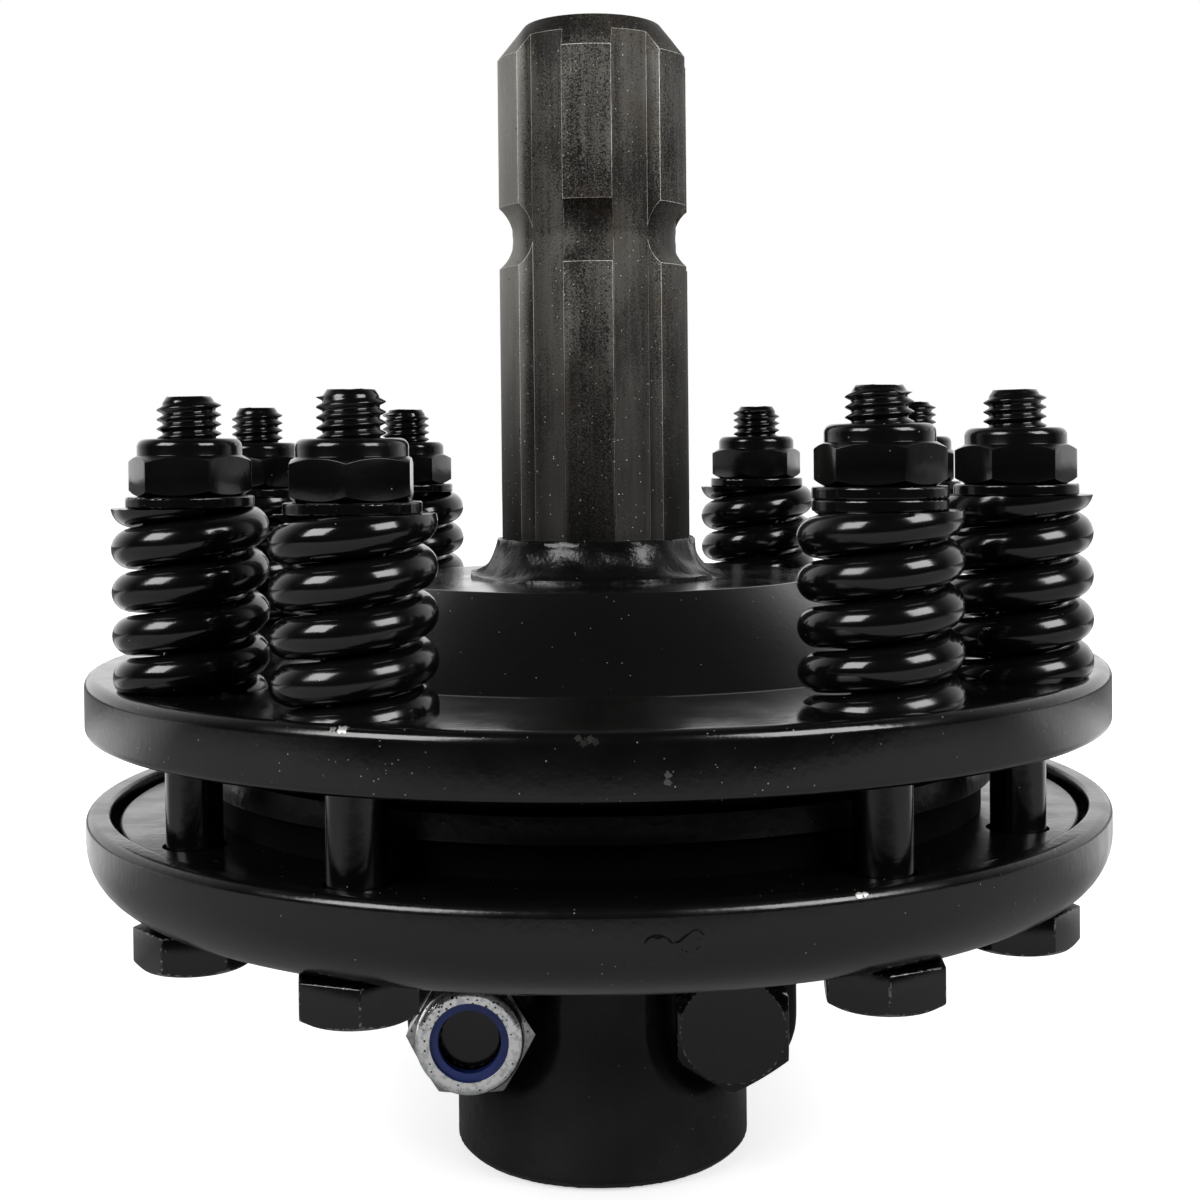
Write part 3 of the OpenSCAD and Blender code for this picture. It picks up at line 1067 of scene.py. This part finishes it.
@dataclass
class SpringBolts:
    """The eight bolts with their cut threads, nuts and washers.

    The thread's root and crest end at shares of the pitch, and each thread is turned on from the one before.
    """

    thread_d: float = 10.0
    pitch: float = 1.5
    depth: float = 0.85
    root_end: float = 0.28
    crest_start: float = 0.56
    crest_end: float = 0.7
    spare_turns: int = 2
    seam: float = 0.001
    end_r: float = 3.5
    cone_h: float = 1.0
    nut_edge: float = 0.8
    head_edge: float = 0.4
    cut_in_nut: float = 5.0
    thread_turn: float = 47.0
    steps: int = 40
    shade: float = 80.0
    pieces: list[bpy.types.Object] = field(default_factory=list)

    def thread(self, low: float, high: float) -> bpy.types.Object:
        """Cut one threaded end on the Z axis.

        Args:
            low: Its lower level in mm.
            high: Its upper level in mm.

        Returns:
            The threaded end.
        """
        crest, root = self.thread_d / 2, self.thread_d / 2 - self.depth
        outline = [
            (root, 0),
            (root, self.root_end),
            (crest, self.crest_start),
            (crest, self.crest_end),
            (root, 1),
        ]
        bpy.ops.object.select_all(action="DESELECT")
        bpy.ops.mesh.primitive_circle_add(vertices=len(outline), radius=MM)
        piece = bpy.context.active_object
        piece.name = piece.data.name = "bolt_thread"
        chain = self.chain_of(piece)
        start = low - self.spare_turns * self.pitch
        for index, (r, share) in zip(chain, outline):
            piece.data.vertices[index].co = (r * MM, 0, (start + share * self.pitch) * MM)
        turns = math.ceil((high - start) / self.pitch) + self.spare_turns
        apply_modifier(
            piece,
            "SCREW",
            angle=math.tau,
            screw_offset=self.pitch * MM,
            iterations=turns,
            steps=self.steps,
            render_steps=self.steps,
            axis="Z",
            use_merge_vertices=True,
            merge_threshold=self.seam * MM,
        )
        tidy(piece)
        cut(piece, low, Side.BELOW)
        cut(piece, high, Side.ABOVE)
        # The end is turned to a short cone that the thread runs out on
        for vertex in piece.data.vertices:
            drop = high - vertex.co.z / MM
            if drop < self.cone_h:
                cone_r = self.end_r + drop * (root - self.end_r) / self.cone_h
                scale = cone_r * MM / math.hypot(*vertex.co.xy)
                vertex.co.x *= scale
                vertex.co.y *= scale
        tidy(piece)
        return piece

    def chain_of(self, piece: bpy.types.Object) -> list[int]:
        """Open a closed outline into a chain of its corners.

        Args:
            piece: The outline.

        Returns:
            Vertex numbers along the chain.
        """
        first = piece.data.edges[0].vertices[:]
        edit_all(piece)
        bpy.ops.mesh.select_all(action="DESELECT")
        bpy.ops.object.mode_set(mode="OBJECT")
        bpy.context.tool_settings.mesh_select_mode = (False, True, False)
        piece.data.edges[0].select = True
        bpy.ops.object.mode_set(mode="EDIT")
        bpy.ops.mesh.delete(type="EDGE_FACE")
        bpy.ops.object.mode_set(mode="OBJECT")
        bpy.context.tool_settings.mesh_select_mode = (True, False, False)
        chain = [first[0]]
        links = [set(edge.vertices) for edge in piece.data.edges]
        while links:
            link = next(pair for pair in links if chain[-1] in pair)
            chain.append((link - {chain[-1]}).pop())
            links.remove(link)
        return chain

    def build(self) -> None:
        """Soften the nuts and heads and put the threads on."""
        nuts = softened("spring_nuts", "locking_nuts", self.nut_edge)
        claim(nuts, Body.DRIVE, Slot.PAINT, "spring_nuts")
        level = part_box("spring_nuts")[0].z / MM + self.cut_in_nut
        bolts = softened("spring_bolts", "hexagon_bolts", self.head_edge, worn=True)
        cut(bolts, level, Side.ABOVE)
        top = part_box("spring_bolts")[1].z / MM
        thread = self.thread(level, top)
        smooth(thread, self.shade)
        parts = [bolts]
        for number, spot in enumerate(bolt_places(), 1):
            copy = twin(thread, f"thread_{number}")
            turn = Matrix.Rotation(math.radians(self.thread_turn * number), 4, "Z")
            place(copy, Matrix.Translation(spot) @ turn)
            parts.append(copy)
        bpy.data.objects.remove(thread)
        bolts = join(parts, "hexagon_bolts")
        claim(bolts, Body.DRIVE, Slot.PAINT, "spring_bolts")
        self.pieces = [nuts, bolts]

    def dress(self, paint: bpy.types.Material, worn: bpy.types.Material) -> None:
        """Paint bolts, nuts, washers and nylon rings, which are painted over.

        Args:
            paint: Their paint.
            worn: Rubbed paint on the edges of the heads.
        """
        nodes = [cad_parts[name] for name in ("spring_washers", "nut_rings")]
        for piece in self.pieces + nodes:
            dress(piece, paint)
        dress(self.pieces[1], paint, worn)


@dataclass
class DriveFlange:
    """The flange plate with its boss, the weld bead and the splined shaft.

    The web is the wall between the shaft's socket and the bush's, from its lower to its upper level. Each wave
    of the weld has a height in mm, a count round the shaft, a start in radians and a lean in radians per mm.
    """

    boss_foot_r: float = 58.0
    boss_top_r: float = 39.5
    seat: float = 87.8
    spigot_r: float = 14.02
    web: tuple[float, float] = (87.9, 90.88)
    bush_r: float = 25.07
    top_edge: float = 1.9
    low_edge: float = 1.4
    bush_edge: float = 0.4
    boss_foot: float = 0.8
    boss_edge: float = 0.7
    hole_d: float = 11.0
    steps: int = 256
    shade: float = 30.0
    tooth_edge: float = 0.3
    tooth_angle: float = 20.0
    bead_steps: int = 300
    bead_rows: int = 14
    bead_shade: float = 60.0
    toe: float = 0.8
    rooted: float = 0.1
    waves: tuple[tuple[float, int, float, float], ...] = (
        (0.3, 3, 0.6, 0.0),
        (0.22, 5, 2.0, 0.2),
        (0.16, 9, 0.0, -0.5),
        (0.1, 16, 0.0, 0.9),
    )
    sink: float = 0.35
    lumpiness: float = 0.7
    pieces: dict[str, bpy.types.Object] = field(default_factory=dict)

    def bead(self) -> bpy.types.Object:
        """Lay the weld bead: a smooth hollow fillet with uneven toes and a few lumps.

        Returns:
            The bead.
        """
        low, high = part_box("shaft_weld")
        outer, base, top = high.x / MM, low.z / MM, high.z / MM
        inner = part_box("spline_shaft")[1].x / MM
        wide, tall = outer - inner, top - base
        points = [(inner, base), (outer, base)]
        for k in range(self.bead_rows + 1):
            turn = math.pi / 2 * k / self.bead_rows
            r = outer - (wide - self.toe) * math.sin(turn)
            points.append((r, top - (tall - self.toe) * math.cos(turn)))
        points.append((inner, top))
        piece = turned(points, "weld_bead", self.bead_steps)
        for vertex in piece.data.vertices:
            r, z = math.hypot(vertex.co.x, vertex.co.y) / MM, vertex.co.z / MM
            if r < inner + self.rooted or z < base + self.rooted:
                continue
            a = math.atan2(vertex.co.x, -vertex.co.y)
            swell = sum(h * math.sin(count * a + start + lean * z) for h, count, start, lean in self.waves)
            lump = self.lumpiness * (swell - self.sink)
            vertex.co.x *= (r + lump) / r
            vertex.co.y *= (r + lump) / r
            vertex.co.z = min(z + lump, top) * MM
        tidy(piece)
        smooth(piece, self.bead_shade)
        return piece

    def plate(self) -> bpy.types.Object:
        """Turn the flange plate and drill it.

        Returns:
            The flange plate.
        """
        low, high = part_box("drive_flange")
        edge_r, base, top = high.x / MM, low.z / MM, high.z / MM
        corners = [
            (self.bush_r, base, self.bush_edge),
            (edge_r, base, self.low_edge),
            (edge_r, self.seat, self.top_edge),
            (self.boss_foot_r, self.seat, self.boss_foot),
            (self.boss_top_r, top, self.boss_edge),
            (self.spigot_r, top, 0),
            (self.spigot_r, self.web[1], 0),
            (0, self.web[1], 0),
            (0, self.web[0], 0),
            (self.bush_r, self.web[0], 0),
        ]
        piece = turned(fillet(corners), "flange_plate", self.steps)
        drill(piece, self.hole_d, base, self.seat)
        smooth(piece, self.shade)
        return piece

    def build(self) -> None:
        """Make the flange, the bead and the shaft."""
        flange = self.plate()
        claim(flange, Body.DRIVE, Slot.PAINT, "drive_flange")
        bead = self.bead()
        claim(bead, Body.DRIVE, Slot.PAINT, "shaft_weld")
        shaft = softened("spline_shaft", "splined_shaft", self.tooth_edge, 2, self.tooth_angle, worn=True)
        claim(shaft, Body.DRIVE, Slot.STEEL, "spline_shaft")
        self.pieces = {"flange": flange, "bead": bead, "shaft": shaft}

    def dress(
        self,
        paint: bpy.types.Material,
        rough_paint: bpy.types.Material,
        steel: bpy.types.Material,
        edge: bpy.types.Material,
    ) -> None:
        """Paint the flange and the bead and leave the shaft bare.

        Args:
            paint: Paint of the flange.
            rough_paint: Paint of the bead.
            steel: Steel of the shaft.
            edge: Rubbed steel, lightened nearly to white as a painted highlight, on the edges of its teeth.
        """
        dress(self.pieces["flange"], paint)
        dress(self.pieces["bead"], rough_paint)
        dress(self.pieces["shaft"], steel, edge)


@dataclass
class Cover:
    """The pressed dish and the backing plate that lies in it."""

    bore_r: float = 27.75
    wall: float = 4.0
    corner: float = 9.5
    rim: float = 1.5
    rim_inside: float = 0.7
    plate_chamfer: float = 4.5
    plate_edge: float = 0.8
    bore_edge: float = 0.4
    hole_d: float = 10.2
    steps: int = 256
    facets: int = 12
    shade: float = 30.0
    pieces: list[bpy.types.Object] = field(default_factory=list)

    def dish(self) -> bpy.types.Object:
        """Press the dish and drill it.

        Returns:
            The dish.
        """
        low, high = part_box("dish_cover")
        edge_r, base, top = high.x / MM, low.z / MM, high.z / MM
        corners = [
            (self.bore_r, base, 0),
            (edge_r, base, self.corner),
            (edge_r, top, self.rim),
            (edge_r - self.wall, top, self.rim_inside),
            (edge_r - self.wall, base + self.wall, self.corner - self.wall),
            (self.bore_r, base + self.wall, 0),
        ]
        piece = turned(fillet(corners, self.facets), "pressed_dish", self.steps)
        drill(piece, self.hole_d, base, base + self.wall)
        smooth(piece, self.shade)
        return piece

    def backing(self) -> bpy.types.Object:
        """Turn the backing plate and drill it.

        Returns:
            The backing plate.
        """
        low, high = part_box("backing_plate")
        edge_r, base, top = high.x / MM, low.z / MM, high.z / MM
        corners = [
            (self.bore_r, base, 0),
            (edge_r - self.plate_chamfer, base, 0),
            (edge_r, base + self.plate_chamfer, 0),
            (edge_r, top, self.plate_edge),
            (self.bore_r, top, self.bore_edge),
        ]
        piece = turned(fillet(corners), "backing_disc", self.steps)
        drill(piece, self.hole_d, base, top)
        smooth(piece, self.shade)
        return piece

    def build(self) -> None:
        """Make the dish and the backing plate."""
        dish = self.dish()
        claim(dish, Body.DRIVE, Slot.PAINT, "dish_cover")
        plate = self.backing()
        claim(plate, Body.DRIVE, Slot.PAINT, "backing_plate")
        self.pieces = [dish, plate]

    def dress(self, paint: bpy.types.Material) -> None:
        """Paint both.

        Args:
            paint: Their paint.
        """
        for piece in self.pieces:
            dress(piece, paint)


@dataclass
class ClampHub:
    """The clamp hub with its cross bolts and their nuts.

    Below the split the hub is a forging, meshed in even cells. The rounds of the flow soften its outside, which
    lies beyond the bore, above the foot and below the seam.
    """

    edge: float = 0.8
    bolt_edge: float = 0.5
    nut_edge: float = 0.9
    segments: int = 4
    split: float = 46.0
    seam: float = 45.0
    cell: float = 0.55
    bore_r: float = 21.0
    foot: float = 3.0
    pull: float = 0.5
    settle: int = 2
    flow: int = 30
    shade: float = 40.0
    pieces: dict[str, bpy.types.Object] = field(default_factory=dict)

    def clamp(self) -> bpy.types.Object:
        """Forge the clamp below the dish, whose seats flow into its round side.

        Returns:
            The clamp.
        """
        piece = twin(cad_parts["clamp_hub"], "hub_clamp")
        piece.data.materials.clear()
        tidy(piece)
        cut(piece, self.split, Side.ABOVE)
        apply_modifier(piece, "REMESH", mode="VOXEL", voxel_size=self.cell * MM)
        outside = piece.vertex_groups.new(name="outside")
        for vertex in piece.data.vertices:
            inner = math.hypot(vertex.co.x, vertex.co.y) < self.bore_r * MM
            if not inner and self.foot * MM < vertex.co.z < self.seam * MM:
                outside.add([vertex.index], 1.0, "REPLACE")
        apply_modifier(piece, "SMOOTH", factor=self.pull, iterations=self.settle)
        apply_modifier(piece, "SMOOTH", factor=self.pull, iterations=self.flow, vertex_group="outside")
        return piece

    def build(self) -> None:
        """Forge the hub and soften the cross bolts and the nuts."""
        hub = softened("clamp_hub", "splined_hub", self.edge, self.segments)
        cut(hub, self.split, Side.BELOW)
        hub = join([hub, self.clamp()], "splined_hub")
        smooth(hub, self.shade)
        claim(hub, Body.HUB, Slot.PAINT, "clamp_hub")
        bolts = softened("clamp_bolts", "cross_bolts", self.bolt_edge, worn=True)
        claim(bolts, Body.HUB, Slot.PAINT, "clamp_bolts")
        nuts = softened("clamp_nuts", "cross_nuts", self.nut_edge, self.segments)
        claim(nuts, Body.HUB, Slot.ZINC, "clamp_nuts")
        self.pieces = {"hub": hub, "bolts": bolts, "nuts": nuts}

    def dress(
        self,
        forged: bpy.types.Material,
        paint: bpy.types.Material,
        worn: bpy.types.Material,
        zinc: bpy.types.Material,
        blue: bpy.types.Material,
    ) -> None:
        """Give the hub its rough paint and the nuts their zinc and blue rings.

        Args:
            forged: Paint over the forged hub.
            paint: Paint of the bolts.
            worn: Rubbed paint on the edges of the bolts' heads.
            zinc: Plating of the nuts.
            blue: Nylon of the rings.
        """
        dress(self.pieces["hub"], forged)
        dress(self.pieces["bolts"], paint, worn)
        dress(self.pieces["nuts"], zinc)
        dress(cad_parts["clamp_nut_rings"], blue)


# Studio


@dataclass(frozen=True)
class Lamp:
    """A soft rectangular lamp that points at the middle of the object."""

    name: str
    place: Point
    size: tuple[float, float]
    watts: float

    def make(self, target: Vector) -> None:
        """Hang the lamp.

        Args:
            target: What it points at, in metres.
        """
        data = bpy.data.lights.new(self.name, "AREA")
        data.shape = "RECTANGLE"
        data.size, data.size_y = self.size
        data.energy = self.watts
        lamp = bpy.data.objects.new(self.name, data)
        lamp.location = self.place
        lamp.rotation_euler = (target - Vector(self.place)).to_track_quat("-Z", "Y").to_euler()
        bpy.context.scene.collection.objects.link(lamp)
        LOG.info("%s: %.1f W", self.name, self.watts)


@dataclass
class Studio:
    """White room, pale floor, soft lamps and the camera at the photo's angle.

    The eye is in mm and the camera's turns are in degrees. Spans are where a change starts and ends: on the
    floor in metres behind the object's axis, and in the room as the share of a direction along Y or Z.
    """

    eye: Point = (0.0, -326.933, 125.225)
    pitch: float = 0.888
    yaw: float = 0.248
    roll: float = -0.574
    lens: float = 53.979
    sensor: float = 36.0
    nearest: float = 0.01
    shift: tuple[float, float] = (-0.003614, -0.103204)
    front: float = 0.02
    back: float = 1.2
    room_span: tuple[float, float] = (-0.15, 0.85)
    zenith: float = 0.2
    zenith_span: tuple[float, float] = (0.4, 0.85)
    floor_size: float = 8.0
    floor_drop: float = 0.0005
    sweep_tone: str = "#f4f4f4"
    sweep_glow: tuple[float, float] = (0.6, 1.0)
    sweep_span: tuple[float, float] = (0.03, 0.4)
    card_span: tuple[float, float] = (-0.5, -0.33)
    card_tone: tuple[float, float] = (0.02, 0.38)
    pale_span: tuple[float, float] = (0.0, 0.3)
    pale_gain: float = 0.2
    glow_start: tuple[float, float] = (0.03, 0.2)
    glow_end: tuple[float, float] = (0.5, 0.28)
    glow: float = 0.75
    lamps: tuple[Lamp, ...] = (
        Lamp("left_softbox", (-0.62, -0.55, 0.62), (0.5, 0.5), 8.0),
        Lamp("right_softbox", (0.62, -0.55, 0.62), (0.5, 0.5), 8.0),
    )

    def floor(self) -> None:
        """Lay the pale floor."""
        bpy.ops.object.select_all(action="DESELECT")
        bpy.ops.mesh.primitive_plane_add(size=self.floor_size, location=(0, 0, -self.floor_drop))
        floor = bpy.context.active_object
        floor.name = "floor"
        recipe = Recipe("white_sweep")
        near = recipe.axes()["Y"]
        # The object sees a floor that is dark round the camera, pale beside it and glows behind it
        front = recipe.between(near, *self.card_span, self.card_tone)
        card = recipe.math("ADD", front, recipe.between(near, *self.pale_span, (0, self.pale_gain)))
        lit = add_node(recipe.tree, "ShaderNodeBsdfDiffuse", {"Color": card}).outputs[0]
        start = recipe.between(near, *self.glow_start, (0, self.glow))
        beside = recipe.times(start, recipe.between(near, *self.glow_end))
        back = add_node(recipe.tree, "ShaderNodeEmission", {"Strength": beside}).outputs[0]
        lit = add_node(recipe.tree, "ShaderNodeAddShader", {0: lit, 1: back}).outputs[0]
        # The eye sees a white sweep with a soft shadow
        far = recipe.vector("LENGTH", recipe.where).outputs["Value"]
        bright = recipe.between(far, *self.sweep_span, self.sweep_glow)
        glow = add_node(recipe.tree, "ShaderNodeEmission", {"Strength": bright}).outputs[0]
        white = add_node(recipe.tree, "ShaderNodeBsdfDiffuse", {"Color": srgb(self.sweep_tone)}).outputs[0]
        sweep = add_node(recipe.tree, "ShaderNodeAddShader", {0: glow, 1: white}).outputs[0]
        eye = add_node(recipe.tree, "ShaderNodeLightPath").outputs["Is Camera Ray"]
        both = add_node(recipe.tree, "ShaderNodeMixShader", {0: eye, 1: lit, 2: sweep})
        add_node(recipe.tree, "ShaderNodeOutputMaterial", {"Surface": both.outputs[0]})
        dress(floor, recipe.material)

    def room(self) -> None:
        """Fill the room with light: bright behind and beside the object, dark round the camera."""
        world = bpy.data.worlds.new("white_room")
        bpy.context.scene.world = world
        world.use_nodes = True
        tree = world.node_tree
        tree.nodes.clear()
        towards = add_node(tree, "ShaderNodeTexCoord").outputs["Generated"]
        axes = add_node(tree, "ShaderNodeSeparateXYZ", {0: towards}).outputs
        levels = []
        for axis, span, low, high in (
            ("Y", self.room_span, self.front, self.back),
            ("Z", self.zenith_span, 1.0, self.zenith),
        ):
            inputs = {"From Min": span[0], "From Max": span[1], "To Min": low, "To Max": high}
            inputs["Value"] = axes[axis]
            level = add_node(tree, "ShaderNodeMapRange", inputs, interpolation_type="SMOOTHSTEP")
            levels.append(level.outputs[0])
        fade = add_node(tree, "ShaderNodeMath", dict(enumerate(levels)), operation="MULTIPLY").outputs[0]
        seen = add_node(tree, "ShaderNodeLightPath").outputs["Is Camera Ray"]
        strength = add_node(tree, "ShaderNodeMix", {0: seen, 2: fade, 3: 1.0}).outputs[0]
        light = add_node(tree, "ShaderNodeBackground", {"Color": srgb("#ffffff"), "Strength": strength})
        add_node(tree, "ShaderNodeOutputWorld", {"Surface": light.outputs[0]})

    def camera(self) -> None:
        """Set the camera up as it stood for the photo."""
        down, turn, tilt = (math.radians(v) for v in (self.pitch, self.yaw, self.roll))
        ahead = Vector((math.sin(turn) * math.cos(down), math.cos(turn) * math.cos(down), -math.sin(down)))
        level = Vector((math.cos(turn), -math.sin(turn), 0.0))
        upright = level.cross(ahead)
        right = math.cos(tilt) * level + math.sin(tilt) * upright
        up = -math.sin(tilt) * level + math.cos(tilt) * upright
        data = bpy.data.cameras.new("camera")
        data.sensor_width = self.sensor
        data.lens = self.lens
        data.shift_x, data.shift_y = self.shift
        data.clip_start = self.nearest
        camera = bpy.data.objects.new("camera", data)
        turned_to = Matrix((right, up, -ahead)).transposed().to_4x4()
        camera.matrix_world = Matrix.Translation(Vector(self.eye) * MM) @ turned_to
        bpy.context.scene.collection.objects.link(camera)
        bpy.context.scene.camera = camera

    def build(self) -> None:
        """Put up floor, room, lamps and camera."""
        self.floor()
        self.room()
        low, high = FIRST_BOUNDS
        for lamp in self.lamps:
            lamp.make((low + high) / 2)
        self.camera()
        bpy.context.scene.view_settings.view_transform = "Standard"


FLANGE_CHIPS = (
    Chip((-35.0, -82.4, 87.6), 0.8, "#d8d7d2", 0.8),
    Chip((-36.4, -81.9, 87.6), 0.6, "#8a8984", 0.6),
    Chip((-2.8, -89.6, 86.9), 0.5, "#2a2a29", 0.15),
    Chip((-2.1, -89.6, 86.3), 0.6, "#222221", 0.1),
    Chip((-1.2, -89.7, 86.8), 0.55, "#2a2a29", 0.15),
    Chip((-0.5, -89.7, 86.4), 0.5, "#222221", 0.1),
    Chip((9.1, -89.5, 81.9), 0.5, "#494846", 0.2),
    Chip((9.0, -89.5, 80.9), 0.5, "#494846", 0.2),
    Chip((-88.9, -14.0, 86.6), 0.8, "#2b2b2a", 0.0),
)
DISH_CHIPS = (
    Chip((35.3, -82.4, 64.0), 0.5, "#c9c8c3", 0.6),
    Chip((36.2, -82.0, 64.0), 0.4, "#c9c8c3", 0.6),
)
DISH_BLISTERS = (
    Blister((7.6, -89.7, 58.6), 1.5),
    Blister((11.6, -89.2, 59.5), 1.4),
)


def main() -> None:
    """Build the pieces, give them their finishes and set the studio up."""
    gloss = Enamel("black_enamel_gloss").make()
    worn = Enamel("black_enamel_rubbed", rubbed=0.1).make()
    plate = Enamel(
        "black_enamel_on_flange",
        roughness=0.16,
        peel=0.008,
        dust=0.18,
        grain=0.02,
        grain_size=1.2,
        chips=FLANGE_CHIPS,
    ).make()
    pressed = Enamel(
        "black_enamel_on_pressing",
        roughness=0.2,
        dust=0.1,
        grain=0.03,
        chips=DISH_CHIPS,
        blisters=DISH_BLISTERS,
    ).make()
    welded = Enamel("black_enamel_on_weld", roughness=0.24, sheen=0.32, grain=0.12, grain_size=0.9).make()
    forged = Enamel(
        "black_enamel_on_forging", colour="#323232", roughness=0.3, sheen=0.16, grain=0.2, grain_size=2.4
    ).make()
    steel = DrawnSteel("drawn_steel_oiled").make()
    # The teeth's edges are rubbed steel with a painted highlight, nearly white
    edge = DrawnSteel("drawn_steel_rubbed_and_highlit", light="#f2efe8", dark="#aaa7a0", grain=0.01).make()
    zinc = ZincPlate("zinc_plate", -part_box("clamp_nuts")[0].y).make()
    blue = Plain("blue_nylon", "#26377a", "#32489a", roughness=0.4, grain_size=2.0).make()
    lining = Plain(
        "moulded_friction_lining", "#050505", "#0a0909", roughness=0.9, grain_size=1.2, sheen=0.1
    ).make()
    bronze = Plain("turned_bronze", "#8d6a3a", "#a37d48", roughness=0.4, grain_size=3.0, metallic=1.0).make()
    springs = Springs()
    springs.build()
    springs.dress(gloss)
    bolts = SpringBolts()
    bolts.build()
    bolts.dress(gloss, worn)
    flange = DriveFlange()
    flange.build()
    flange.dress(plate, welded, steel, edge)
    hub = ClampHub()
    hub.build()
    hub.dress(forged, gloss, worn, zinc, blue)
    cover = Cover()
    cover.build()
    cover.dress(pressed)
    for name in ("upper_lining", "lower_lining"):
        dress(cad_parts[name], lining)
    dress(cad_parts["centring_bush"], bronze)
    Studio().build()


if __name__ == "__main__":
    main()
